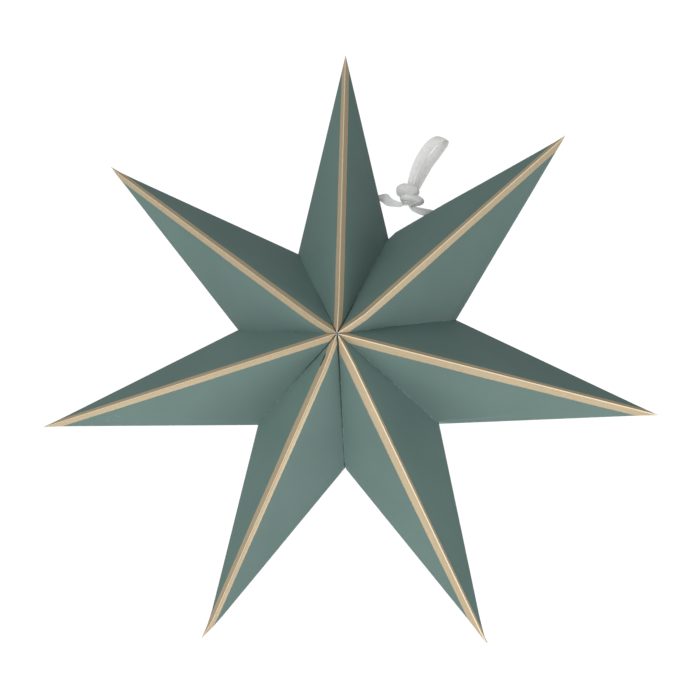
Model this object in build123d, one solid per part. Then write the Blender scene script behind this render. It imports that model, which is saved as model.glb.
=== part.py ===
from build123d import *
import math
import os

# A folded paper star with seven hollow points, held open and hung by a white ribbon.
# It hangs upright: Z is up, the front of the star faces -Y, and its unglued seam is the
# valley at the top, with the ribbon tied across it. The origin is inside the top of the
# ribbon's loop, where a hook carries the star. Millimetres.

# Star
TIP_RADIUS = 154.0  # from the star's axis to the sharp end of a point
VALLEY_RADIUS = 57.0  # from the axis to the corner between two points
HALF_DEPTH = 44.0  # from the middle plane to the front apex, and to the back apex
CARD = 0.35  # thickness of the card
EYE_RADIUS = 1.2  # the open eye at each apex, where the points' corners stop
TIP_BLUNT = 1.3  # how much of each sharp tip is missing

# Glue flaps, and the corner cut off the last point at the seam
FLAP_WIDTH = 6.0
FLAP_FROM_APEX = 8.0
FLAP_FROM_CORNER = 4.0
RIDGE_FLAP_FROM_APEX = 24.0  # clear of the neighbour's flap under the same panel
RIDGE_FLAP_FROM_TIP = 30.0
SEAM_CUT_OUT = 5.0  # length cut off the outline fold
SEAM_CUT_IN = 1.5  # length cut off the valley edge

# Ribbon
LOOP_HEIGHT = 118.0  # from the star's centre up to the inside of the loop
RIBBON_WIDTH = 5.0
RIBBON_THICKNESS = 0.3
HOLE_DIAMETER = 3.2  # punched in the backs of the two points beside the seam
HOLE_CLEARANCE = 0.4  # between the gathered ribbon and the edge of its hole
HOLE_FROM_CORNER_LEFT = 24.0  # along the left point's outline fold, from the seam's corner
HOLE_FROM_CORNER_RIGHT = 28.0
HOLE_FROM_FOLD = 5.0  # in from the outline fold
NECK_PROUD = 0.8  # how far the gathered ribbon stands out of its hole
STOPPER_RADIUS = 3.0  # of the knot that stops the ribbon inside a point
LOOP_LENGTH = 28.0  # from the knot to the top of the loop
LOOP_LEAN = 7.0  # degrees, to the right
KNOT = (13.0, 8.0, 8.6)  # width, depth and height
KNOT_ROUNDING = 2.2
KNOT_TAIL = (6.0, 3.0, 6.0)  # the wraps under the knot, where both strands come in

# The points, anticlockwise from the seam as seen from the front. The star is folded and
# glued by hand: one point leans towards the seam, and the corners aren't all as deep.
POINTS = ["top_left", "left", "lower_left", "bottom", "lower_right", "right", "top_right"]
PITCH = 360 / len(POINTS)
FIRST_TIP_AZIMUTH = 114.3
TIP_LEAN = [0.0, 0.0, 1.0, 0.0, -0.3, 0.3, 5.6]  # degrees from even spacing
CORNER_LEAN = [4.4, 0.0, 1.5, 2.3, 0.2, -0.3, 1.7]  # degrees, the seam's corner first
CORNER_REACH = [3.0, -2.5, -2.5, -0.5, 1.2, 2.1, -0.3]  # added to the valley radius

CENTRE = Vector(0, 0, -LOOP_HEIGHT)
FRONT = CENTRE + Vector(0, -HALF_DEPTH, 0)
BACK = CENTRE + Vector(0, HALF_DEPTH, 0)


def outward(azimuth):
    """The direction away from the star's axis, in degrees from +X towards +Z."""
    return Vector(math.cos(math.radians(azimuth)), 0, math.sin(math.radians(azimuth)))


rays = [outward(FIRST_TIP_AZIMUTH + k * PITCH + lean) for k, lean in enumerate(TIP_LEAN)]
tips = [CENTRE + ray * TIP_RADIUS for ray in rays]
corners = [
    CENTRE + outward(FIRST_TIP_AZIMUTH + (k - 0.5) * PITCH + lean) * (VALLEY_RADIUS + reach)
    for k, (lean, reach) in enumerate(zip(CORNER_LEAN, CORNER_REACH))
]
FIRST = 0
LAST = len(POINTS) - 1


def panel(apex, k, corner):
    """The outer face of a panel of point k, facing outward."""
    normal = (tips[k] - apex).cross(corners[corner] - apex).normalized()
    outward_side = 1 if normal.Y * (apex.Y - CENTRE.Y) > 0 else -1
    return Plane(origin=apex, z_dir=normal * outward_side)


def carve(under, over):
    """What is left of a block around the star, under some planes and over others."""
    solid = Pos(*CENTRE) * Box(3 * TIP_RADIUS, 3 * TIP_RADIUS, 3 * TIP_RADIUS)
    for plane in under:
        solid = split(solid, bisect_by=plane, keep=Keep.BOTTOM)
    for plane in over:
        solid = split(solid, bisect_by=plane, keep=Keep.TOP)
    return solid


def square_to(along, towards):
    """The part of a direction that is square to another, at length 1."""
    return (towards - along * towards.dot(along)).normalized()


def flap(cover, start, end, inside_point, gaps):
    """A glue flap under a panel's inner face, along the fold from start to end.

    inside_point is on the covering panel, and gaps are the bare lengths of fold before
    and after the flap. It runs on past its fold, and is trimmed there afterwards.
    """
    along = (end - start).normalized()
    inward = square_to(along, inside_point - start)
    far_edge = Plane(origin=start + inward * FLAP_WIDTH, z_dir=inward)
    first_end = Plane(origin=start + along * gaps[0], z_dir=along - inward)
    last_end = Plane(origin=end - along * gaps[1], z_dir=along + inward)
    return carve(
        [cover.offset(-CARD), far_edge, last_end],
        [cover.offset(-2 * CARD), first_end],
    )


def corner_cut(apex, corner, tip):
    """Cuts off a panel's corner, square to the card."""
    on_fold = corner + (tip - corner).normalized() * SEAM_CUT_OUT
    on_valley = corner + (apex - corner).normalized() * SEAM_CUT_IN
    towards_corner = square_to((on_fold - on_valley).normalized(), corner - on_valley)
    return Plane(origin=on_valley, z_dir=towards_corner)


def half_point(k, apex):
    """The front or back half of point k: two panels, and the flap that its neighbour covers."""
    after = (k + 1) % len(POINTS)
    before_face = panel(apex, k, k)
    after_face = panel(apex, k, after)
    previous_face = panel(apex, k - 1, k)
    next_face = panel(apex, after, after)
    ends = Plane(origin=CENTRE + rays[k] * (TIP_RADIUS - TIP_BLUNT), z_dir=rays[k])
    eye = Plane(origin=CENTRE + rays[k] * EYE_RADIUS, z_dir=rays[k])
    middle = Plane(origin=CENTRE, z_dir=CENTRE - apex)
    before_under = [before_face, ends, middle]
    before_over = [before_face.offset(-CARD), previous_face, eye]
    after_under = [after_face, ends, middle]
    after_over = [after_face.offset(-CARD), next_face.offset(-CARD), eye]
    pieces = []
    if apex.Y < CENTRE.Y:
        ridge = Plane(origin=apex, z_dir=before_face.z_dir - after_face.z_dir)
        before_over.append(ridge)
        after_under.append(ridge)
    else:
        before_under.append(after_face)
        after_under.append(before_face.offset(-CARD))
        gaps = (RIDGE_FLAP_FROM_APEX, RIDGE_FLAP_FROM_TIP)
        ridge_flap = flap(before_face, apex, tips[k], corners[k], gaps)
        pieces.append(split(ridge_flap, bisect_by=after_face, keep=Keep.BOTTOM))
    if k == LAST:
        after_under.append(corner_cut(apex, corners[after], tips[k]))
    gaps = (FLAP_FROM_APEX, FLAP_FROM_CORNER)
    pieces.append(carve(before_under, before_over))
    pieces.append(carve(after_under, after_over))
    valley_flap = flap(next_face, apex, corners[after], tips[after], gaps)
    pieces.append(split(valley_flap, bisect_by=after_face.offset(-CARD), keep=Keep.TOP))
    return pieces


def ribbon_hole(k):
    """The middle of the ribbon's hole in the back of a point beside the seam, facing out."""
    from_corner = HOLE_FROM_CORNER_LEFT if k == FIRST else HOLE_FROM_CORNER_RIGHT
    fold = (tips[k] - corners[FIRST]).normalized()
    inward = square_to(fold, BACK - corners[FIRST])
    place = corners[FIRST] + fold * from_corner + inward * HOLE_FROM_FOLD
    return Plane(origin=place, z_dir=panel(BACK, k, FIRST).z_dir)


def build_point(k):
    """One point: a single folded sheet, glued shut along its back ridge."""
    sheet = Part() + half_point(k, FRONT) + half_point(k, BACK)
    if k in (FIRST, LAST):
        sheet -= ribbon_hole(k) * Cylinder(HOLE_DIAMETER / 2, 8 * CARD)
    return sheet.clean()


def build_stopper(k):
    """The knot inside a point, with the gathered ribbon that comes out through the hole."""
    seat = Plane.XY.offset(-CARD)
    knot = split(Pos(*seat.origin) * Sphere(STOPPER_RADIUS), bisect_by=seat, keep=Keep.BOTTOM)
    neck_radius = HOLE_DIAMETER / 2 - HOLE_CLEARANCE
    neck = Cylinder(neck_radius, CARD + NECK_PROUD, align=(Align.CENTER, Align.CENTER, Align.MIN))
    return ribbon_hole(k) * (knot + Pos(*seat.origin) * neck)


def band(name, route, across):
    """A flat ribbon along a route. across is the direction of its width at the start."""
    radii = []
    for a, b, c in zip(route, route[1:], route[2:]):
        turn = math.radians((b - a).get_angle(c - b))
        radii.append(0.45 * min((b - a).length, (c - b).length) / math.tan(turn / 2))
    path = FilletPolyline(*route, radius=radii)
    start = Plane(origin=path @ 0, x_dir=across, z_dir=path % 0)
    solid = sweep(start * Rectangle(RIBBON_WIDTH, RIBBON_THICKNESS), path)
    section = RIBBON_WIDTH * RIBBON_THICKNESS
    print(name, "length", round(path.length, 1), "radii", [round(r, 1) for r in radii],
          "volume", round(solid.volume, 2), "section x length", round(section * path.length, 2))
    return solid


def strand_route(k, side):
    """From the knot's tail to the gathered ribbon that stands out of its hole."""
    hole = ribbon_hole(k)
    end = hole.origin + hole.z_dir * NECK_PROUD
    tail_side = TAIL_PLACE + Vector(side * KNOT_TAIL[0] / 2, 0, 0)
    middle = {
        FIRST: [Vector(-7.4, 1.5, -39.6), Vector(-10.6, 2.9, -40.1), Vector(-14.0, 5.4, -39.9)],
        LAST: [Vector(4.2, 1.5, -39.6), Vector(7.2, 3.2, -39.2), Vector(10.2, 5.4, -37.7)],
    }
    return [tail_side] + middle[k] + [end + hole.z_dir * APPROACH, end]


# The loop and its knot share one leaning direction; the loop's inside top is the origin.
APPROACH = 3.0  # the straight length of ribbon square to the hole
lean = Vector(math.sin(math.radians(LOOP_LEAN)), 0, math.cos(math.radians(LOOP_LEAN)))
knot_top = lean * -(LOOP_LENGTH - RIBBON_THICKNESS / 2)
knot_frame = Plane(origin=knot_top, x_dir=lean.cross(Vector(0, -1, 0)), z_dir=lean)
TAIL_PLACE = Vector(-1.6, 1.5, -39.6)

knot = knot_frame * Pos(0, 0, -KNOT[2] / 2) * fillet(Box(*KNOT).edges(), KNOT_ROUNDING)
knot += Pos(*TAIL_PLACE) * Box(*KNOT_TAIL)

# Half of the loop's side view, from the knot up: how far each leg is from the middle, and
# how far up. The two legs are one behind the other, as the ribbon folds over a hook.
leg = [(1.5, 0), (1.5, 6.0), (2.9, 14.0), (3.1, 22.5), (1.7, LOOP_LENGTH)]
side_view = [(-away, up) for away, up in leg] + [(away, up) for away, up in reversed(leg)]
loop_route = [knot_frame.from_local_coords(Vector(0, away, up)) for away, up in side_view]

nodes = {"point_" + name: build_point(k) for k, name in enumerate(POINTS)}
nodes["ribbon_knot"] = knot
nodes["ribbon_loop"] = band("ribbon_loop", loop_route, knot_frame.x_dir)
nodes["ribbon_strand_left"] = band("ribbon_strand_left", strand_route(FIRST, -1), Vector(0, 0, 1))
nodes["ribbon_strand_right"] = band("ribbon_strand_right", strand_route(LAST, 1), Vector(0, 0, 1))
nodes["ribbon_stopper_left"] = build_stopper(FIRST)
nodes["ribbon_stopper_right"] = build_stopper(LAST)

os.makedirs("parts", exist_ok=True)
for name, solid in nodes.items():
    export_step(solid, f"parts/{name}.step")
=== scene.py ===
import math

import bmesh
import bpy
import numpy as np
from mathutils import Matrix, Vector, noise


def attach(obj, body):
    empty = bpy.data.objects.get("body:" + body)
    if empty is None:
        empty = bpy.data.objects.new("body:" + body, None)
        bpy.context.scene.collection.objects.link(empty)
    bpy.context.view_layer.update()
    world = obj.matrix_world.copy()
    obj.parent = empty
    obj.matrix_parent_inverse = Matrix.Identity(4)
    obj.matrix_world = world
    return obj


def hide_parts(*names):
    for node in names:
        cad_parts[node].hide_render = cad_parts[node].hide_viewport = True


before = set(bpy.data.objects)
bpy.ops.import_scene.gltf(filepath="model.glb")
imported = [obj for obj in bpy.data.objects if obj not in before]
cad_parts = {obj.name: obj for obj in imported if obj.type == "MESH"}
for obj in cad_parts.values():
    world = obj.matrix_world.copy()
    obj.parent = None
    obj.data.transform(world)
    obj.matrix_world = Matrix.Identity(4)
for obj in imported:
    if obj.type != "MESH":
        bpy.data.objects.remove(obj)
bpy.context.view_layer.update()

# The looks of the folded paper star: seven folded sheets of printed card with gold foil
# along every ridge, and the white ribbon tied across its open seam. It hangs from the
# ribbon's loop, its front faces -Y, and all numbers are in metres unless a name ends in _MM.

MM = 0.001

# Driving sizes, the same as in the CAD model.
CENTRE = Vector((0, 0, -0.118))
TIP_RADIUS = 0.154
HALF_DEPTH = 0.044
CARD = 0.00035
CRUSHED_RADIUS = 0.0012  # where the CAD's points stop, at the blunt eye of each apex
FLAP_WIDTH = 0.006
FLAP_FROM_APEX = 0.008
FLAP_FROM_CORNER = 0.004
SEAM_CUT_OUT = 0.005  # of the corner cut off at the seam, along the outline fold
SEAM_CUT_IN = 0.0015  # and along the valley edge
HOLE_RADIUS = 0.0016
HOLE_FROM_CORNER = {"top_left": 0.024, "top_right": 0.028}
HOLE_FROM_FOLD = 0.005

# Finer detail than in the CAD model.
EYE_RADIUS = 0.00018  # the card's crushed ends nearly meet there
TIP_BLUNT = 0.0005
SEAM_PUSH = 0.0013  # how far the loose edge at the seam stands out
HOLE_STEPS = 32
HOLE_REACH = 0.0036  # faces this near the middle of a hole make way for its round edge
HOLE_OFF_PANEL = 0.0010  # unless they lie this far off the panel's plane

# The points, anticlockwise from the seam as seen from the front.
POINTS = ["top_left", "left", "lower_left", "bottom", "lower_right", "right", "top_right"]
COUNT = len(POINTS)

# Camera
CAMERA_PLACE = Vector((0.0896, -0.6048, -0.1935))
CAMERA_AZIMUTH = 8.21
CAMERA_ELEVATION = -7.13
CAMERA_ROLL = -24.51
CAMERA_LENS = 64.18

# How each sheet is folded and glued by hand, in the order of POINTS.
VALLEY_GAP_MM = [0.30, 0.26, 0.30, 0.28, 0.55, 0.28, 0.26]  # at the sheet's first valley
CREASE_WIDTH = [0.8, 0.8, 0.8, 1.1, 1.5, 0.9, 0.8]  # of the painted shade line in each valley, a share
BOW_MM = [0.5, 0.7, 0.4, 0.6, 0.6, 0.7, 0.5]  # how far a panel bulges at its middle
TIP_BEND_MM = [0.0, -0.5, 0.0, -1.5, 0.3, 0.0, 0.2]  # sideways, anticlockwise positive
TIP_BEND_REACH_MM = [6, 7, 6, 12, 6, 6, 8]
TIP_STRETCH_MM = [0.0, 1.4, 1.4, 1.6, 2.6, 0.9, 0.8]  # longer by this much at the very tip
RIDGE_BOW_MM = [-0.5, 0.9, 0.0, 1.2, 0.7, 0.0, -2.1]  # of the crest, anticlockwise positive
STRIPE_SHIFT_MM = [0.0, 0.2, 0.1, -0.6, -1.3, -0.7, -0.4]  # of the print from the fold

STRIPE_HALF_WIDTH_MM = 2.9
STRIPE_WAVER_MM = 0.09
COLUMNS = 56  # of faces along a panel's rows
ROW_STEP = 0.0023

# How far the inner face of the card is from the outer one, where it is less than CARD.
CREST_CARD_MM = 0.05
CREST_CARD_SLOPE = 0.22  # more for each millimetre from the crest
TIP_CARD = 0.00008
TIP_CARD_SLOPE = 0.13
LONGEST_MITRE = 2.2  # in card thicknesses


# ---------------------------------------------------------------- camera, stage, lights


def camera_turn():
    """The camera's turn: looking at the star from a little below and right, and rolled."""
    azimuth = math.radians(CAMERA_AZIMUTH)
    elevation = math.radians(CAMERA_ELEVATION)
    roll = math.radians(CAMERA_ROLL)
    back = Vector((
        math.sin(azimuth) * math.cos(elevation),
        -math.cos(azimuth) * math.cos(elevation),
        math.sin(elevation),
    ))
    level_up = (Vector((0, 0, 1)) - back * back.z).normalized()
    level_right = level_up.cross(back)
    up = level_up * math.cos(roll) + level_right * math.sin(roll)
    right = up.cross(back)
    return Matrix((right, up, back)).transposed()


def add_camera():
    data = bpy.data.cameras.new("camera")
    data.sensor_width = 36
    data.lens = CAMERA_LENS
    camera = bpy.data.objects.new("camera", data)
    bpy.context.collection.objects.link(camera)
    camera.matrix_world = Matrix.Translation(CAMERA_PLACE) @ camera_turn().to_4x4()
    bpy.context.scene.camera = camera


def add_light(name, place, size, power, colour=(1, 1, 1)):
    """A soft square light that faces the star."""
    data = bpy.data.lights.new(name, "AREA")
    data.size = size
    data.energy = power
    data.color = colour
    light = bpy.data.objects.new(name, data)
    bpy.context.collection.objects.link(light)
    light.location = place
    light.rotation_euler = (CENTRE - Vector(place)).to_track_quat("-Z", "Y").to_euler()
    light.visible_camera = False


def add_room_light(seen, felt):
    """An even white surround: its brightness as seen behind the star, and as a light."""
    world = bpy.data.worlds.new("surround")
    bpy.context.scene.world = world
    world.use_nodes = True
    nodes = world.node_tree.nodes
    links = world.node_tree.links
    nodes.clear()
    path = nodes.new("ShaderNodeLightPath")
    strength = nodes.new("ShaderNodeMapRange")
    strength.inputs["To Min"].default_value = felt
    strength.inputs["To Max"].default_value = seen
    background = nodes.new("ShaderNodeBackground")
    background.inputs["Color"].default_value = (1, 1, 1, 1)
    output = nodes.new("ShaderNodeOutputWorld")
    links.new(path.outputs["Is Camera Ray"], strength.inputs["Value"])
    links.new(strength.outputs["Result"], background.inputs["Strength"])
    links.new(background.outputs["Background"], output.inputs["Surface"])


def plain_material(name, colour, roughness):
    material, tree = new_material(name)
    shader = tree.nodes["Principled BSDF"]
    shader.inputs["Base Color"].default_value = (*colour, 1)
    shader.inputs["Roughness"].default_value = roughness
    return material


def add_floor():
    """A pale round floor, well under the hanging star."""
    shape = bmesh.new()
    bmesh.ops.create_circle(shape, cap_ends=True, segments=96, radius=2.4)
    mesh = bpy.data.meshes.new("floor")
    shape.to_mesh(mesh)
    shape.free()
    floor = bpy.data.objects.new("floor", mesh)
    bpy.context.collection.objects.link(floor)
    floor.location = (0, 0, -1.1)
    material = plain_material("floor", (0.86, 0.86, 0.85), 0.8)
    shader = material.node_tree.nodes["Principled BSDF"]
    shader.inputs["Emission Color"].default_value = (1, 1, 0.99, 1)
    shader.inputs["Emission Strength"].default_value = 0.35
    mesh.materials.append(material)


def add_stage():
    bpy.context.scene.view_settings.view_transform = "Standard"
    add_floor()
    add_room_light(seen=1.05, felt=0.40)
    add_light("low_right", (0.94, -0.32, -0.63), 0.6, 3.5)
    add_light("low_left", (-0.16, -0.27, -0.93), 0.4, 1.4)
    add_light("right", (1.01, -0.32, -0.05), 0.6, 2.4)
    add_light("left", (-0.73, -0.80, -0.44), 0.6, 1.8)
    add_light("high_left", (-0.79, -0.80, 0.19), 0.6, 3.0)
    add_light("back", (0.30, 1.20, -0.50), 1.0, 12.0)


# ------------------------------------------------------------------------ material tools


def new_material(name):
    material = bpy.data.materials.new(name)
    material.use_nodes = True
    return material, material.node_tree


def math_node(tree, operation, first, second=None, clamp=False):
    """A Math node on two inputs, each a number or another node's output."""
    node = tree.nodes.new("ShaderNodeMath")
    node.operation = operation
    node.use_clamp = clamp
    for socket, value in zip(node.inputs, (first, second)):
        if value is None:
            continue
        if isinstance(value, (int, float)):
            socket.default_value = value
        else:
            tree.links.new(value, socket)
    return node.outputs[0]


def attribute_node(tree, name):
    node = tree.nodes.new("ShaderNodeAttribute")
    node.attribute_name = name
    return node.outputs["Fac"]


def object_place(tree):
    return tree.nodes.new("ShaderNodeTexCoord").outputs["Object"]


def noise_node(tree, vector, scale, detail=2.0, roughness=0.5):
    """A noise pattern, with its scale in features a metre for a place in metres."""
    node = tree.nodes.new("ShaderNodeTexNoise")
    node.inputs["Scale"].default_value = scale
    node.inputs["Detail"].default_value = detail
    node.inputs["Roughness"].default_value = roughness
    tree.links.new(vector, node.inputs["Vector"])
    return node.outputs["Fac"]


def range_node(tree, value, from_low, from_high, to_low, to_high):
    node = tree.nodes.new("ShaderNodeMapRange")
    node.inputs["From Min"].default_value = from_low
    node.inputs["From Max"].default_value = from_high
    node.inputs["To Min"].default_value = to_low
    node.inputs["To Max"].default_value = to_high
    tree.links.new(value, node.inputs["Value"])
    return node.outputs["Result"]


def mix_node(tree, share, first, second):
    """Mixes two colours, each a colour or another node's output."""
    node = tree.nodes.new("ShaderNodeMix")
    node.data_type = "RGBA"
    if isinstance(share, (int, float)):
        node.inputs["Factor"].default_value = share
    else:
        tree.links.new(share, node.inputs["Factor"])
    for socket, value in ((node.inputs["A"], first), (node.inputs["B"], second)):
        if isinstance(value, tuple):
            socket.default_value = (*value, 1)
        else:
            tree.links.new(value, socket)
    return node.outputs["Result"]


def bump_node(tree, height, strength, distance):
    node = tree.nodes.new("ShaderNodeBump")
    node.inputs["Strength"].default_value = strength
    node.inputs["Distance"].default_value = distance
    tree.links.new(height, node.inputs["Height"])
    return node.outputs["Normal"]


def vector_node(tree, x, y):
    node = tree.nodes.new("ShaderNodeCombineXYZ")
    tree.links.new(x, node.inputs["X"])
    tree.links.new(y, node.inputs["Y"])
    return node.outputs["Vector"]


# ------------------------------------------------------------------------- card materials


def stripe_share(tree):
    """1 on the gold stripe and 0 on the green card, with a slightly uneven printed edge."""
    ridge = attribute_node(tree, "from_ridge_mm")
    away = math_node(tree, "ABSOLUTE", ridge)
    waver = noise_node(tree, object_place(tree), 900, 3)
    narrow = STRIPE_HALF_WIDTH_MM - STRIPE_WAVER_MM
    wide = STRIPE_HALF_WIDTH_MM + STRIPE_WAVER_MM
    half_width = range_node(tree, waver, 0.3, 0.7, narrow, wide)
    inside = math_node(tree, "SUBTRACT", half_width, away)
    return math_node(tree, "MULTIPLY_ADD", inside, 12.0, clamp=True)


def green_colour(tree):
    """Matt green ink on card: faint clouds, fine fibre flecks and paler rubbed folds."""
    place = object_place(tree)
    clouds = range_node(tree, noise_node(tree, place, 28, 3), 0.3, 0.7, 0, 1)
    ink = mix_node(tree, clouds, (0.094, 0.164, 0.148), (0.108, 0.182, 0.166))
    fibres = range_node(tree, noise_node(tree, place, 2600, 2, 0.7), 0.35, 0.75, 0, 1)
    ink = mix_node(tree, math_node(tree, "MULTIPLY", fibres, 0.22), ink, (0.160, 0.230, 0.214))
    ink = mix_node(tree, rubbed_share(tree), ink, (0.30, 0.38, 0.35))
    return mix_node(tree, scuff_share(tree), ink, (0.34, 0.40, 0.38))


def scuff_share(tree):
    """A few faint scuffs, as short broken scratches in some places only."""
    place = object_place(tree)
    where = range_node(tree, noise_node(tree, place, 17, 1), 0.62, 0.72, 0.0, 1.0)
    scratches = range_node(tree, noise_node(tree, place, 620, 4, 0.75), 0.60, 0.70, 0.0, 1.0)
    return math_node(tree, "MULTIPLY", math_node(tree, "MULTIPLY", where, scratches), 0.35)


def crease_shade_share(tree):
    """How dark the painted shade in the valley crease is, standing in for the shadow under the next
    sheet's edge.
    """
    waver = noise_node(tree, object_place(tree), 260, 3)
    moved = math_node(tree, "ADD", attribute_node(tree, "from_crease_mm"),
                      range_node(tree, waver, 0.3, 0.7, -0.15, 0.25))
    return range_node(tree, moved, 0.55, 0.95, 0.85, 0.0)


def rubbed_share(tree):
    """How rubbed the ink is: broken flecks along the outline folds and the card's edges."""
    fold = attribute_node(tree, "from_fold_mm")
    near = range_node(tree, fold, 0.0, 0.9, 1.0, 0.0)
    patches = range_node(tree, noise_node(tree, object_place(tree), 420, 4, 0.65), 0.48, 0.62, 0.0, 1.0)
    return math_node(tree, "MULTIPLY", math_node(tree, "MULTIPLY", near, patches), 0.55)


def gold_colour(tree):
    """Gold foil: fine streaks along the ridge, and a painted highlight as a paler line along the ridge
    fold.
    """
    streaks = noise_node(tree, streak_place(tree), 1.0, 3, 0.6)
    streak_share = range_node(tree, streaks, 0.3, 0.7, 0, 1)
    foil = mix_node(tree, streak_share, (0.43, 0.335, 0.205), (0.52, 0.42, 0.27))
    # Painted highlight: the foil is mixed towards pale cream along the crest.
    highlight_term = math_node(tree, "MULTIPLY", crest_highlight_share(tree), 0.75)
    return mix_node(tree, highlight_term, foil, (0.98, 0.84, 0.62))


def crest_highlight_share(tree):
    """The line along the ridge fold where a highlight is painted into the foil."""
    away = math_node(tree, "ABSOLUTE", attribute_node(tree, "from_crest_mm"))
    return range_node(tree, away, 0.10, 0.50, 1.0, 0.0)


def streak_place(tree):
    """A place stretched along the ridge, so that a noise on it runs in fine streaks."""
    along = math_node(tree, "MULTIPLY", attribute_node(tree, "along_mm"), 0.35)
    across = math_node(tree, "MULTIPLY", attribute_node(tree, "from_crest_mm"), 5.0)
    return vector_node(tree, along, across)


def card_bump(tree):
    """The grain of uncoated card: fine fibres over a broader unevenness."""
    place = object_place(tree)
    fine = noise_node(tree, place, 3200, 3, 0.7)
    broad = noise_node(tree, place, 240, 2)
    height = math_node(tree, "ADD", math_node(tree, "MULTIPLY", fine, 0.3), broad)
    return bump_node(tree, height, 0.35, 0.00012)


def printed_card():
    material, tree = new_material("printed_card")
    shader = tree.nodes["Principled BSDF"]
    gold = stripe_share(tree)
    colour = mix_node(tree, gold, green_colour(tree), gold_colour(tree))
    # Painted shade: a near-black line along each valley crease, in place of the shadow under the next
    # sheet's edge.
    colour = mix_node(tree, crease_shade_share(tree), colour, (0.012, 0.022, 0.020))
    grain = noise_node(tree, object_place(tree), 1500, 2)
    matt = range_node(tree, grain, 0.3, 0.7, 0.52, 0.62)
    foil = range_node(tree, grain, 0.3, 0.7, 0.38, 0.50)
    difference = math_node(tree, "SUBTRACT", foil, matt)
    roughness = math_node(tree, "ADD", matt, math_node(tree, "MULTIPLY", difference, gold))
    tree.links.new(colour, shader.inputs["Base Color"])
    # Less metallic along the crest, under the painted highlight.
    highlight_term = range_node(tree, crest_highlight_share(tree), 0.0, 1.0, 0.35, 0.10)
    tree.links.new(math_node(tree, "MULTIPLY", gold, highlight_term), shader.inputs["Metallic"])
    tree.links.new(roughness, shader.inputs["Roughness"])
    tree.links.new(card_bump(tree), shader.inputs["Normal"])
    shader.inputs["Specular IOR Level"].default_value = 0.5
    return material


def plain_card(name, light, dark):
    """Unprinted card: the inside of a sheet, or its cut edge."""
    material, tree = new_material(name)
    shader = tree.nodes["Principled BSDF"]
    fibres = noise_node(tree, object_place(tree), 1800, 3, 0.7)
    colour = mix_node(tree, range_node(tree, fibres, 0.3, 0.7, 0, 1), dark, light)
    tree.links.new(colour, shader.inputs["Base Color"])
    tree.links.new(card_bump(tree), shader.inputs["Normal"])
    shader.inputs["Roughness"].default_value = 0.8
    return material


# ----------------------------------------------------------------------- ribbon material


def ribbon_material():
    """White satin ribbon: fine threads across it, a firmer woven edge and faint clouds of tone."""
    material, tree = new_material("white_ribbon")
    shader = tree.nodes["Principled BSDF"]
    along = attribute_node(tree, "along_mm")
    across = attribute_node(tree, "across_mm")
    threads = math_node(tree, "SINE", math_node(tree, "MULTIPLY", along, 24.0))
    warp = math_node(tree, "SINE", math_node(tree, "MULTIPLY", across, 30.0))
    selvedge = range_node(tree, math_node(tree, "ABSOLUTE", across), 2.05, 2.25, 0.0, 1.0)
    clouds = noise_node(tree, object_place(tree), 350, 3)
    cloud_share = range_node(tree, clouds, 0.3, 0.7, 0, 1)
    colour = mix_node(tree, cloud_share, (0.80, 0.80, 0.785), (0.88, 0.88, 0.87))
    colour = mix_node(tree, math_node(tree, "MULTIPLY", selvedge, 0.5), colour, (0.93, 0.93, 0.92))
    weave = math_node(tree, "ADD", threads, math_node(tree, "MULTIPLY", warp, 0.5))
    height = math_node(tree, "ADD", weave, math_node(tree, "MULTIPLY", selvedge, 2.0))
    tree.links.new(colour, shader.inputs["Base Color"])
    tree.links.new(bump_node(tree, height, 0.25, 0.00005), shader.inputs["Normal"])
    tree.links.new(range_node(tree, threads, -1, 1, 0.40, 0.55), shader.inputs["Roughness"])
    shader.inputs["Sheen Weight"].default_value = 0.25
    shader.inputs["Subsurface Weight"].default_value = 0.5
    shader.inputs["Subsurface Radius"].default_value = (1.0, 1.0, 1.0)
    shader.inputs["Subsurface Scale"].default_value = 0.0008
    return material


# ------------------------------------------------------------------- meshes and attributes


def make_piece(name, places, faces, attributes, materials, face_materials=None):
    """A mesh object with smooth faces, and one number a vertex for each named attribute."""
    mesh = bpy.data.meshes.new(name)
    mesh.from_pydata([tuple(place) for place in places], [], faces)
    for label, values in attributes.items():
        layer = mesh.attributes.new(label, "FLOAT", "POINT")
        layer.data.foreach_set("value", [float(value) for value in values])
    for material in materials:
        mesh.materials.append(material)
    if face_materials is not None:
        mesh.polygons.foreach_set("material_index", face_materials)
    mesh.polygons.foreach_set("use_smooth", [True] * len(mesh.polygons))
    piece = bpy.data.objects.new(name, mesh)
    bpy.context.collection.objects.link(piece)
    face_outward(mesh)
    return piece


def face_outward(mesh):
    """Turns all faces outward, and keeps a crisp edge where two materials meet."""
    shape = bmesh.new()
    shape.from_mesh(mesh)
    bmesh.ops.recalc_face_normals(shape, faces=shape.faces)
    for edge in shape.edges:
        kinds = {face.material_index for face in edge.link_faces}
        edge.smooth = len(kinds) == 1
    shape.to_mesh(mesh)
    shape.free()


# ------------------------------------------------------------------------------- ribbon

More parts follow.
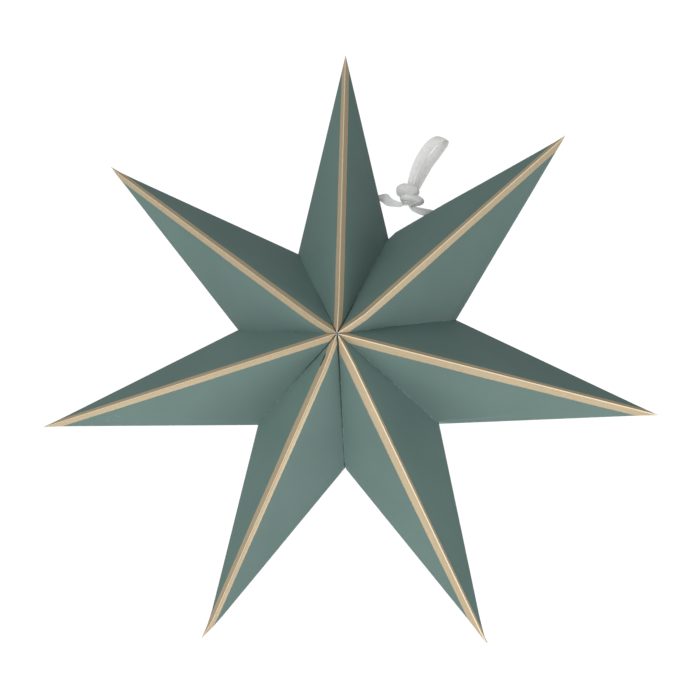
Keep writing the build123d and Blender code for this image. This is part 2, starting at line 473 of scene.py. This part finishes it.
# The ribbon's route in millimetres: place, direction of its width, share of its width,
# and how deeply it is gathered into pleats.
LEFT_STRAND = [
    ((-19.42, 4.47, -40.30), (-0.35, -0.33, 0.88), 0.42, 0.5),
    ((-17.51, 6.28, -38.87), (-0.35, -0.33, 0.88), 0.55, 0.4),
    ((-14.9, 5.2, -37.7), (0.25, 0.10, 1.0), 1.12, 0.1),
    ((-11.2, 2.7, -39.9), (0.10, 0.15, 1.0), 0.95, 0.1),
    ((-7.4, 1.5, -39.6), (-0.10, 0.2, 1.0), 0.66, 0.2),
    ((-4.6, 1.5, -39.0), (-0.2, 0.3, 1.0), 0.55, 0.4),
]
INTO_LOOP = [
    ((-2.4, 0.4, -36.5), (0.6, 0.0, 0.8), 0.5, 0.5),
    ((-3.6, -1.3, -31.5), (1.0, 0.0, 0.1), 0.55, 0.5),
]
LOOP = [
    ((-4.4, -1.5, -26.8), (1.0, 0.0, -0.05), 0.80, 0.35),
    ((-5.1, -2.0, -20.5), (1.0, 0.0, -0.05), 0.96, 0.1),
    ((-4.9, -3.0, -13.5), (1.0, 0.05, -0.15), 1.0, 0.0),
    ((-3.4, -3.1, -5.5), (1.0, 0.2, -0.3), 1.0, 0.0),
    ((-0.4, -1.9, 0.3), (0.9, -0.40, -0.15), 1.0, 0.0),
    ((2.6, 1.5, 0.9), (0.9, -0.40, -0.15), 1.0, 0.0),
    ((0.9, 3.0, -5.5), (1.0, -0.2, -0.2), 1.0, 0.0),
    ((-1.1, 3.0, -13.5), (1.0, 0.0, -0.1), 1.0, 0.0),
    ((-1.5, 2.2, -20.5), (1.0, 0.0, 0.0), 0.96, 0.1),
    ((-1.4, 1.5, -26.8), (1.0, 0.0, 0.05), 0.80, 0.35),
]
OUT_OF_LOOP = [
    ((-1.6, 1.0, -31.5), (1.0, 0.0, 0.1), 0.55, 0.5),
    ((-1.6, 1.4, -36.0), (0.4, 0.0, 0.9), 0.5, 0.5),
]
RIGHT_STRAND = [
    ((1.2, 1.5, -38.4), (0.3, 0.1, 0.9), 0.55, 0.4),
    ((4.0, 1.6, -38.3), (0.2, 0.2, 1.0), 0.72, 0.2),
    ((7.0, 3.2, -37.5), (0.2, 0.1, 1.0), 0.85, 0.1),
    ((10.2, 5.4, -36.3), (0.25, 0.0, 1.0), 0.90, 0.1),
    ((13.45, 6.27, -35.51), (0.33, -0.35, 0.88), 0.55, 0.4),
    ((15.31, 4.33, -36.84), (0.33, -0.35, 0.88), 0.42, 0.5),
]
RIBBON_ROUTE = LEFT_STRAND + INTO_LOOP + LOOP + OUT_OF_LOOP + RIGHT_STRAND
RIBBON_WIDTH = 0.005
RIBBON_THICKNESS = 0.0003
RIBBON_ACROSS = 13  # places across the ribbon


def smooth_line(controls):
    """Places along the NURBS curve that has these control points."""
    data = bpy.data.curves.new("route", "CURVE")
    data.dimensions = "3D"
    spline = data.splines.new("NURBS")
    spline.points.add(len(controls) - 1)
    for point, place in zip(spline.points, controls):
        point.co = (*place, 1)
    spline.order_u = 3
    spline.use_endpoint_u = True
    spline.resolution_u = 12
    holder = bpy.data.objects.new("route", data)
    mesh = bpy.data.meshes.new_from_object(holder)
    line = [vertex.co.copy() for vertex in mesh.vertices]
    bpy.data.meshes.remove(mesh)
    bpy.data.objects.remove(holder)
    bpy.data.curves.remove(data)
    return line


def band_section(width, pleats, share, crown):
    """One place across a ribbon: how far out it is, and how far it stands proud."""
    out = share * width / 2
    proud = crown * (1 - share * share)
    proud += pleats * 0.0006 * math.cos(share * 2.5 * math.pi)
    return out, proud


def band_piece(name, route, material):
    """A thin flat ribbon along a route of (place, width direction, width share, pleats)."""
    middle = smooth_line([Vector(place) * MM for place, _, _, _ in route])
    halves = []
    for _, side, share, _ in route:
        halves.append(Vector(side).normalized() * share * RIBBON_WIDTH / 2)
    edge = smooth_line([Vector(row[0]) * MM + half for row, half in zip(route, halves)])
    pleats = smooth_line([Vector((row[3], 0, 0)) for row in route])
    places = []
    along = []
    across = []
    travelled = 0.0
    for index, centre in enumerate(middle):
        before = middle[max(index - 1, 0)]
        after = middle[min(index + 1, len(middle) - 1)]
        travelled += (centre - before).length if index else 0.0
        side = edge[index] - centre
        reach = side.length
        side = side / reach
        proud_way = side.cross((after - before).normalized()).normalized()
        shares = np.linspace(-1, 1, RIBBON_ACROSS)
        for face in (1, -1):
            for share in shares * face:
                out, proud = band_section(2 * reach, pleats[index].x, share, 0.00025)
                lift = proud + face * RIBBON_THICKNESS / 2
                places.append(centre + side * out + proud_way * lift)
                along.append(travelled / MM)
                across.append(share * 2.5)
    ring = 2 * RIBBON_ACROSS
    faces = ring_faces(len(middle), ring)
    attributes = {"along_mm": along, "across_mm": across}
    return make_piece(name, places, faces, attributes, [material]), middle, travelled


def ring_faces(rings, size):
    """Faces of a tube of rings, with a cap at each end made of strips across it."""
    faces = []
    for ring in range(rings - 1):
        for k in range(size):
            a = ring * size + k
            b = ring * size + (k + 1) % size
            faces.append((a, b, b + size, a + size))
    for start in (0, (rings - 1) * size):
        for k in range(size // 2 - 1):
            faces.append((start + k, start + k + 1, start + size - 2 - k, start + size - 1 - k))
    return faces


def add_ribbon(material):
    ribbon, line, length = band_piece("ribbon", RIBBON_ROUTE, material)
    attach(ribbon, "root")
    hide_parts("ribbon_loop", "ribbon_strand_left", "ribbon_strand_right")
    print("ribbon length", round(length, 4))


# The wraps of the knot in millimetres: centre, half width, half depth, height, tilt in
# degrees that raises the left side, and how much its middle bulges.
KNOT_WRAPS = [
    ((-4.5, 0.0, -31.6), 5.6, 3.3, 7.2, -20.0, 0.7),
    ((-0.6, 0.0, -34.9), 5.9, 3.6, 5.2, -12.0, 0.7),
    ((-1.6, 0.4, -37.0), 3.6, 2.9, 2.8, -8.0, 0.5),
]


def wrap_places(centre, half_width, half_depth, height, tilt, bulge, turn_steps, rise_steps):
    """The outer face of one wrap of ribbon round the knot, as rings from bottom to top."""
    turn = Matrix.Rotation(math.radians(tilt), 3, "Y")
    rows = []
    for rise in range(rise_steps + 1):
        share = 2 * rise / rise_steps - 1
        tuck = 1 - 0.55 * abs(share) ** 2.6
        row = []
        for step in range(turn_steps):
            angle = 2 * math.pi * step / turn_steps
            crease = 0.12 * math.sin(3 * angle + 4.0 * share + centre[0])
            crease += 0.10 * math.sin(7 * angle - 3.0 * share)
            reach = tuck + bulge * 0.06 * (1 - share * share)
            place = Vector((
                (half_width * reach + crease) * math.cos(angle),
                (half_depth * reach + crease) * math.sin(angle),
                share * height / 2 + 0.25 * math.sin(2 * angle + share),
            ))
            row.append((Vector(centre) + turn @ place) * MM)
        rows.append(row)
    return rows


def add_knot(material):
    """The knot as its outer wraps of gathered ribbon, each a closed rounded body."""
    places = []
    faces = []
    along = []
    across = []
    turn_steps = 64
    rise_steps = 18
    for wrap in KNOT_WRAPS:
        start = len(places)
        rows = wrap_places(*wrap, turn_steps, rise_steps)
        for rise, row in enumerate(rows):
            for step, place in enumerate(row):
                places.append(place)
                along.append(step * 0.4)
                across.append((2 * rise / rise_steps - 1) * 2.5)
        for rise in range(rise_steps):
            for step in range(turn_steps):
                a = start + rise * turn_steps + step
                b = start + rise * turn_steps + (step + 1) % turn_steps
                faces.append((a, b, b + turn_steps, a + turn_steps))
        faces.append(tuple(start + step for step in range(turn_steps)))
        top = start + rise_steps * turn_steps
        faces.append(tuple(top + step for step in range(turn_steps)))
    attributes = {"along_mm": along, "across_mm": across}
    knot = make_piece("ribbon_knot_wraps", places, faces, attributes, [material])
    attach(knot, "root")
    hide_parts("ribbon_knot")
    return knot


# --------------------------------------------------------------------------- the points


def node_places(name):
    return [vertex.co.copy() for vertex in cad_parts[name].data.vertices]


def tip_direction(name):
    """From the star's axis to a point's tip: the blunt end of the CAD point is square to it."""
    places = [place - CENTRE for place in node_places(name)]
    reach = max(Vector((place.x, 0, place.z)).length for place in places)
    ends = [place for place in places if Vector((place.x, 0, place.z)).length > reach - 0.0003]
    total = sum(ends, Vector())
    return Vector((total.x, 0, total.z)).normalized()


def first_corner(name, ray):
    """The corner on a point's clockwise side, in the star's middle plane."""
    clockwise = Vector((ray.z, 0, -ray.x))
    places = [place for place in node_places(name) if abs(place.y) < 0.00002]
    corner = max(places, key=lambda place: (place - CENTRE).dot(clockwise))
    return Vector((corner.x, 0, corner.z))


RAYS = [tip_direction("point_" + name) for name in POINTS]
TIPS = [CENTRE + ray * TIP_RADIUS for ray in RAYS]
CORNERS = [first_corner("point_" + name, ray) for name, ray in zip(POINTS, RAYS)]


class Panel:
    """One flat triangle of a sheet, measured along its ridge (s) and away from it (d)."""

    def __init__(self, k, front, before):
        self.k = k
        self.front = front
        self.before = before
        self.apex = CENTRE + Vector((0, -HALF_DEPTH if front else HALF_DEPTH, 0))
        self.tip = TIPS[k]
        corner = CORNERS[k if before else (k + 1) % COUNT]
        ridge = self.tip - self.apex
        self.length = ridge.length
        self.along = ridge.normalized()
        to_corner = corner - self.apex
        self.away = (to_corner - self.along * to_corner.dot(self.along)).normalized()
        self.normal = self.along.cross(self.away).normalized()
        if self.normal.y * self.apex.y < 0:
            self.normal = -self.normal
        self.corner_s = to_corner.dot(self.along)
        self.corner_d = to_corner.dot(self.away)
        self.valley_slope = self.corner_s / self.corner_d
        self.outline_slope = (self.length - self.corner_s) / self.corner_d
        self.valley_shift = self.shift_of_valley()
        self.far = (self.length - self.valley_shift) / (self.valley_slope + self.outline_slope)
        self.cut = None
        if k == COUNT - 1 and not before:
            self.cut_corner()

    def cut_corner(self):
        """The last sheet's loose corner at the seam is cut off: (s, d) at each end of the cut."""
        fold = Vector((self.length - self.corner_s, -self.corner_d)).normalized()
        valley = Vector((-self.corner_s, -self.corner_d)).normalized()
        corner = Vector((self.corner_s, self.corner_d))
        self.cut = (corner + fold * SEAM_CUT_OUT, corner + valley * SEAM_CUT_IN)
        run = (self.cut[0].x - self.cut[1].x) / (self.cut[1].y - self.cut[0].y)
        start = self.cut[1].x + run * self.cut[1].y
        self.cut_line = (start, run)
        self.far = (start - self.valley_shift) / (self.valley_slope + run)

    def shift_of_valley(self):
        """How far along s the card's edge is from the valley line: short of it where it is
        cut back, and past it where it runs on under the neighbour's edge."""
        widen = math.hypot(self.corner_s, self.corner_d) / self.corner_d
        if not self.before:
            return -0.00042 * widen
        return VALLEY_GAP_MM[self.k] * MM * widen

    def square_cut(self, reach, d):
        """Where a plane square to the point's ray, so far from the axis, cuts a row."""
        ray = RAYS[self.k]
        return (reach - d * self.away.dot(ray)) / self.along.dot(ray)

    def start(self, d):
        valley = self.valley_shift + self.valley_slope * d
        if self.before:
            wave = noise.noise(Vector((self.k * 7.3, d * 90, 0.5 if self.front else 2.5)))
            valley += 0.00022 * wave * min(1, (self.far - d) / 0.004) * min(1, d / 0.003)
        return max(valley, self.square_cut(EYE_RADIUS, d))

    def end(self, d):
        outline = self.length - self.outline_slope * d
        if self.cut:
            outline = min(outline, self.cut_line[0] - self.cut_line[1] * d)
        return min(outline, self.square_cut(TIP_RADIUS - TIP_BLUNT, d))

    def cap_row(self):
        """The row whose end is where the outline fold meets the blunt tip."""
        at_ridge = self.square_cut(TIP_RADIUS - TIP_BLUNT, 0)
        slope = self.away.dot(RAYS[self.k]) / self.along.dot(RAYS[self.k])
        return (self.length - at_ridge) / (self.outline_slope - slope)

    def eye_row(self):
        """The row whose start is where the valley edge meets the eye."""
        at_ridge = self.square_cut(EYE_RADIUS, 0)
        slope = self.away.dot(RAYS[self.k]) / self.along.dot(RAYS[self.k])
        return (at_ridge - self.valley_shift) / (self.valley_slope + slope)

    def rows(self):
        """Distances from the ridge, close together at the crest."""
        needed = [0.0, self.cap_row(), self.eye_row()]
        if self.cut:
            needed.append(self.cut[0].y)
        wanted = [0.00022, 0.0008, 0.0014, 0.0022]
        count = round((self.far - 0.0022) / ROW_STEP)
        wanted += [0.0022 + (self.far - 0.0022) * n / count for n in range(1, count)]
        rows = list(needed)
        for d in wanted:
            if min(abs(d - other) for other in rows) > 0.00012:
                rows.append(d)
        return sorted(rows) + [self.far]

    def place(self, s, d):
        return self.apex + self.along * s + self.away * d

    def surface(self, s, d):
        """A place on the finished card, bowed and waved out of the flat panel."""
        ray = RAYS[self.k]
        anticlockwise = Vector((-ray.z, 0, ray.x))
        sideways = self.bend(s, d)
        if self.cut:
            sideways += self.push(s, d)
        return self.place(s, d) + self.normal * self.lift(s, d) + anticlockwise * sideways

    def push(self, s, d):
        """How far the loose edge at the seam stands out, most near the cut corner."""
        to_outline = max(0.0, self.length - self.outline_slope * d - s) / self.outline_slope
        return SEAM_PUSH * min(1.0, d / (0.7 * self.far)) * max(0.0, 1 - to_outline / 0.012) ** 2

    def lift(self, s, d):
        """How far the card bulges or waves out of its flat panel."""
        to_outline = max(0.0, (self.length - self.outline_slope * d - s) / self.outline_slope)
        to_valley = max(0.0, (s - self.valley_slope * d) / self.valley_slope)
        fold_share = min(1.0, d / 0.004) * min(1.0, to_outline / 0.004)
        spread = 4 * d * min(to_outline, to_valley * 2 + 0.004) / (self.corner_d ** 2)
        bow = BOW_MM[self.k] * MM * min(1.0, 3.2 * spread)
        wave = noise.noise(self.place(s, d) * 38 + Vector((self.k, 3.0, 1.0))) * 0.00028
        flare = 0.00035 * max(0.0, 1 - (self.far - d) / 0.010) if self.before else 0.0
        dip = -0.00007 * max(0.0, 1 - d / 0.00022)
        return (bow + wave) * fold_share + flare * min(1.0, to_outline / 0.002) + dip

    def bend(self, s, d):
        """How far the crest wanders sideways, least at the outline fold and the tip."""
        share = s / self.length
        profile = min(1.0, share / 0.10) * max(0.0, 1 - share) ** 1.2
        to_fold = min(1.0, d / (self.far * (0.15 + 0.85 * min(1.0, 2.4 * share * (1 - share)))))
        return RIDGE_BOW_MM[self.k] * MM * profile * max(0.0, 1 - to_fold)

    def measures(self, s, d):
        """The distances in millimetres that the card's material works from."""
        signed = -d if self.before else d
        outline = (self.length - self.outline_slope * d - s) * self.sine(self.outline_slope)
        valley = (s - self.valley_shift - self.valley_slope * d) * self.sine(self.valley_slope)
        edge = abs(valley) if self.before else 0.02
        crease = 0.02 if self.before else abs(valley) / CREASE_WIDTH[(self.k + 1) % COUNT]
        return (
            signed / MM - STRIPE_SHIFT_MM[self.k],
            signed / MM,
            s / MM,
            min(abs(outline), edge) / MM,
            crease / MM,
        )

    def sine(self, slope):
        return 1 / math.hypot(1, slope)


def crushed(place):
    """The place, pushed in where the points' thin ends meet at an apex."""
    reach = math.hypot(place.x, place.z - CENTRE.z)
    if reach > CRUSHED_RADIUS or abs(place.y) < 0.04:
        return place
    blunt = HALF_DEPTH - HALF_DEPTH / TIP_RADIUS * CRUSHED_RADIUS - 0.15 * (CRUSHED_RADIUS - reach)
    return Vector((place.x, math.copysign(min(abs(place.y), blunt), place.y), place.z))


def column_shares(length):
    """Shares of a row, closer together near both of its ends."""
    near = min(0.0003, 0.06 * length) / length
    inner = min(0.0009, 0.15 * length) / length
    middle = [inner + (1 - 2 * inner) * n / (COLUMNS - 4) for n in range(COLUMNS - 3)]
    return [0.0, near] + middle + [1 - near, 1.0]


class Sheet:
    """The outer face of one point's folded sheet, built up panel by panel."""

    def __init__(self, k):
        self.k = k
        self.places = []
        self.measures = []
        self.index = {}
        self.faces = []
        for front in (True, False):
            for before in (True, False):
                self.add_panel(Panel(k, front, before))
        self.add_cap()

    def vertex(self, key, make):
        if key not in self.index:
            place, measures = make()
            self.index[key] = len(self.places)
            self.places.append(place)
            self.measures.append(measures)
        return self.index[key]

    def key(self, panel, rows, j, i, cap):
        """Panels share the vertices of the ridge, the outline fold and the corner."""
        if j == 0:
            return ("ridge", panel.front, i)
        if j == len(rows) - 1:
            return ("corner", panel.before, panel.front if panel.cut else None)
        on_outline = not panel.cut or rows[j] < panel.cut[0].y + 1e-7
        if i == COLUMNS and j >= cap and on_outline:
            return ("outline", panel.before, j)
        return ("panel", panel.front, panel.before, j, i)

    def add_panel(self, panel):
        rows = panel.rows()
        cap = rows.index(panel.cap_row())
        grid = []
        for j, d in enumerate(rows):
            if j == len(rows) - 1:
                s = panel.end(d)
                make = lambda s=s, d=d: (panel.place(s, d), panel.measures(s, d))
                corner = self.vertex(self.key(panel, rows, j, 0, cap), make)
                grid.append([corner] * (COLUMNS + 1))
                continue
            start = panel.start(d)
            end = panel.end(d)
            row = []
            for i, share in enumerate(column_shares(end - start)):
                s = start + (end - start) * share
                make = lambda s=s, d=d: (crushed(panel.surface(s, d)), panel.measures(s, d))
                row.append(self.vertex(self.key(panel, rows, j, i, cap), make))
            grid.append(row)
        for j in range(len(rows) - 1):
            for i in range(COLUMNS):
                face = [grid[j][i], grid[j][i + 1], grid[j + 1][i + 1], grid[j + 1][i]]
                if grid[j + 1][i] == grid[j + 1][i + 1]:
                    face = face[:3]
                self.faces.append(tuple(face))
        self.ends = getattr(self, "ends", {})
        self.ends[(panel.front, panel.before)] = [grid[j][COLUMNS] for j in range(cap + 1)]
        if not panel.before:
            self.add_flap(panel, rows, grid)

    def add_cap(self):
        """Closes the blunt tip."""
        ring = list(self.ends[(True, True)])
        ring += list(reversed(self.ends[(False, True)]))[1:]
        ring += self.ends[(False, False)][1:]
        ring += list(reversed(self.ends[(True, False)]))[1:-1]
        middle = sum((self.places[v] for v in ring), Vector()) / len(ring)
        middle += RAYS[self.k] * 0.00012
        centre = len(self.places)
        self.places.append(middle)
        self.measures.append((0.0, 0.0, 160.0, 0.0, 9.0))
        for a, b in zip(ring, ring[1:] + ring[:1]):
            self.faces.append((a, b, centre))

    def add_flap(self, panel, rows, grid):
        """The glue flap that runs on from a valley edge under the next sheet."""
        eye = rows.index(panel.eye_row())
        neighbour = Panel((self.k + 1) % COUNT, panel.front, True)
        valley = (CORNERS[(self.k + 1) % COUNT] - panel.apex).normalized()
        under = neighbour.along - valley * neighbour.along.dot(valley)
        under = under.normalized()
        total = math.hypot(panel.corner_s, panel.corner_d)
        strips = [[grid[j][0] for j in range(eye, len(rows))]]
        for step in (0.12, 0.5, 1.0):
            strip = []
            for vertex in strips[0]:
                place = self.places[vertex]
                travel = (place - panel.apex).dot(valley)
                room = min(travel - FLAP_FROM_APEX, total - FLAP_FROM_CORNER - travel)
                width = min(FLAP_WIDTH, max(0.0004, room))
                strip.append(len(self.places))
                self.places.append(place + under * width * step)
                self.measures.append((9.0, 9.0, travel / MM, 3.0, 0.0))
            strips.append(strip)
        for first, second in zip(strips, strips[1:]):
            for n in range(len(first) - 1):
                self.faces.append((first[n], first[n + 1], second[n + 1], second[n]))


def ordered_loop(edges):
    """The vertices of a closed chain of directed edges, in order."""
    follow = dict(edges)
    loop = [edges[0][0]]
    while follow[loop[-1]] != loop[0]:
        loop.append(follow[loop[-1]])
    return loop


def punch_hole(sheet, panel, distance):
    """Punches the ribbon's hole in a back panel, with a round edge of new vertices."""
    corner = panel.place(panel.corner_s, panel.corner_d)
    fold = (panel.tip - corner).normalized()
    inward = panel.apex - corner
    inward = (inward - fold * inward.dot(fold)).normalized()
    middle = corner + fold * distance + inward * HOLE_FROM_FOLD

    def is_near(face):
        away = sum((sheet.places[v] for v in face), Vector()) / len(face) - middle
        return away.length < HOLE_REACH and abs(away.dot(panel.normal)) < HOLE_OFF_PANEL

    def direction(vertex):
        away = sheet.places[vertex] - middle
        return math.atan2(away.dot(inward), away.dot(fold))

    near = [face for face in sheet.faces if is_near(face)]
    inside = {(a, b) for face in near for a, b in zip(face, face[1:] + face[:1])}
    loop = ordered_loop(sorted(edge for edge in inside if (edge[1], edge[0]) not in inside))
    turns = [math.remainder(direction(b) - direction(a), math.tau) for a, b in zip(loop, loop[1:])]
    way = 1 if sum(turns) > 0 else -1
    first = direction(loop[0])
    ring = []
    for step in range(HOLE_STEPS):
        angle = first + way * math.tau * step / HOLE_STEPS
        spot = middle + (fold * math.cos(angle) + inward * math.sin(angle)) * HOLE_RADIUS
        away = spot - panel.apex
        ring.append(len(sheet.places))
        sheet.places.append(panel.surface(away.dot(panel.along), away.dot(panel.away)))
        sheet.measures.append(panel.measures(away.dot(panel.along), away.dot(panel.away)))
    outer = [(way * (direction(v) - first)) % math.tau for v in loop[1:]]
    sheet.faces = [face for face in sheet.faces if not is_near(face)]
    sheet.faces += stitches(loop, ring, [0.0] + outer + [math.tau])
    drop_loose_vertices(sheet)


def stitches(loop, ring, turned):
    """Triangles between a loop and an even ring that go round the same way together."""
    faces = []
    loop = loop + loop[:1]
    ring = ring + ring[:1]
    a = 0
    b = 0
    while a < len(loop) - 1 or b < len(ring) - 1:
        ring_done = b == len(ring) - 1
        ring_turned = math.tau * (b + 1) / (len(ring) - 1)
        if ring_done or (a < len(loop) - 1 and turned[a + 1] <= ring_turned):
            faces.append((loop[a], loop[a + 1], ring[b]))
            a += 1
        else:
            faces.append((loop[a], ring[b + 1], ring[b]))
            b += 1
    return faces


def drop_loose_vertices(sheet):
    kept = sorted({v for face in sheet.faces for v in face})
    number = {old: new for new, old in enumerate(kept)}
    sheet.places = [sheet.places[v] for v in kept]
    sheet.measures = [sheet.measures[v] for v in kept]
    sheet.faces = [tuple(number[v] for v in face) for face in sheet.faces]


def vertex_normals(places, faces):
    """For each vertex, the normals of its faces, all on one side of the sheet."""
    touching = [[] for _ in places]
    for face in faces:
        a, b, c = places[face[0]], places[face[1]], places[face[2]]
        normal = (b - a).cross(c - a)
        if normal.length < 1e-16:
            continue
        normal.normalize()
        for vertex in face:
            touching[vertex].append(normal)
    return touching


def inner_places(k, sheet, faces):
    """Each vertex moved one card thickness inward, with mitred folds, and less near the tip
    and the crests."""
    ray = RAYS[k]
    inner = []
    touching = vertex_normals(sheet.places, faces)
    for place, measures, normals in zip(sheet.places, sheet.measures, touching):
        from_tip = TIP_RADIUS - (place - CENTRE).dot(ray)
        at_crest = (CREST_CARD_MM + CREST_CARD_SLOPE * abs(measures[1])) * MM
        thickness = min(CARD, at_crest, max(TIP_CARD, TIP_CARD_SLOPE * from_tip))
        rows = np.array([tuple(normal) for normal in normals])
        move = np.linalg.pinv(rows, rcond=0.2) @ np.full(len(rows), thickness)
        size = np.linalg.norm(move)
        move *= min(1.0, LONGEST_MITRE * thickness / max(size, 1e-9))
        inner.append(place - Vector(move))
    return inner


def bend_tip(k, place):
    """The small sideways bend at the end of a tip."""
    ray = RAYS[k]
    from_tip = TIP_RADIUS - (place - CENTRE).dot(ray)
    reach = TIP_BEND_REACH_MM[k] * MM
    share = max(0.0, 1 - from_tip / reach)
    anticlockwise = Vector((-ray.z, 0, ray.x))
    sideways = anticlockwise * TIP_BEND_MM[k] * MM * share * share
    longer = ray * TIP_STRETCH_MM[k] * MM * max(0.0, 1 - from_tip / 0.012) ** 2
    return place + sideways + longer


def orient(places, faces):
    """The same faces, all turned outward from the sheet, by walking from face to face."""
    shape = bmesh.new()
    vertices = [shape.verts.new(place) for place in places]
    shape.verts.ensure_lookup_table()
    shape.verts.index_update()
    for face in faces:
        shape.faces.new([vertices[v] for v in face])
    bmesh.ops.recalc_face_normals(shape, faces=shape.faces)
    turned = [tuple(vertex.index for vertex in face.verts) for face in shape.faces]
    shape.free()
    return turned


def outward_first(places, faces):
    """Turns every face over if the sheet's faces point inward."""
    total = 0.0
    for face in faces:
        a, b, c = places[face[0]], places[face[1]], places[face[2]]
        normal = (b - a).cross(c - a)
        total += normal.y * (1 if a.y > 0 else -1)
    if total > 0:
        return faces
    return [tuple(reversed(face)) for face in faces]


def boundary_edges(faces):
    """The edges that only one face has, each in its face's direction."""
    seen = set()
    for face in faces:
        for a, b in zip(face, face[1:] + face[:1]):
            seen.add((a, b))
    return [(a, b) for a, b in seen if (b, a) not in seen]


def face_kind(places, face):
    """The material of an outer face: the print, or the crushed end at an apex."""
    middle = sum((places[v] for v in face), Vector()) / len(face)
    reach = math.hypot(middle.x, middle.z - CENTRE.z)
    return 3 if reach < 0.8 * CRUSHED_RADIUS and abs(middle.y) > 0.04 else 0


def add_point(k, materials):
    sheet = Sheet(k)
    if POINTS[k] in HOLE_FROM_CORNER:
        seam_panel = Panel(k, front=False, before=k == 0)
        punch_hole(sheet, seam_panel, HOLE_FROM_CORNER[POINTS[k]])
    faces = outward_first(sheet.places, orient(sheet.places, sheet.faces))
    inner = inner_places(k, sheet, faces)
    shift = len(sheet.places)
    rim = [(b, a, a + shift, b + shift) for a, b in sorted(boundary_edges(faces))]
    inside = [tuple(v + shift for v in reversed(face)) for face in faces]
    places = [bend_tip(k, place) for place in sheet.places + inner]
    kinds = [face_kind(places, face) for face in faces] + [1] * len(inside) + [2] * len(rim)
    labels = ["from_ridge_mm", "from_crest_mm", "along_mm", "from_fold_mm", "from_crease_mm"]
    attributes = {
        label: [row[n] for row in sheet.measures] * 2 for n, label in enumerate(labels)
    }
    name = "card_" + POINTS[k]
    piece = make_piece(name, places, faces + inside + rim, attributes, materials, kinds)
    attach(piece, "root")
    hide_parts("point_" + POINTS[k])
    return piece


def add_star():
    materials = [
        printed_card(),
        plain_card("card_inside", (0.30, 0.33, 0.31), (0.22, 0.26, 0.24)),
        # The cut edge is near black: painted shade, for the thin shadow line along each valley where
        # the edge shows.
        plain_card("card_edge", (0.050, 0.075, 0.070), (0.025, 0.042, 0.038)),
        plain_card("card_end", (0.66, 0.63, 0.62), (0.44, 0.41, 0.40)),
    ]
    for k in range(COUNT):
        add_point(k, materials)


add_camera()
add_stage()
satin = ribbon_material()
knot = add_knot(satin)
add_ribbon(satin)
for name in ("ribbon_stopper_left", "ribbon_stopper_right"):
    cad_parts[name].data.materials.clear()
    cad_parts[name].data.materials.append(satin)
add_star()
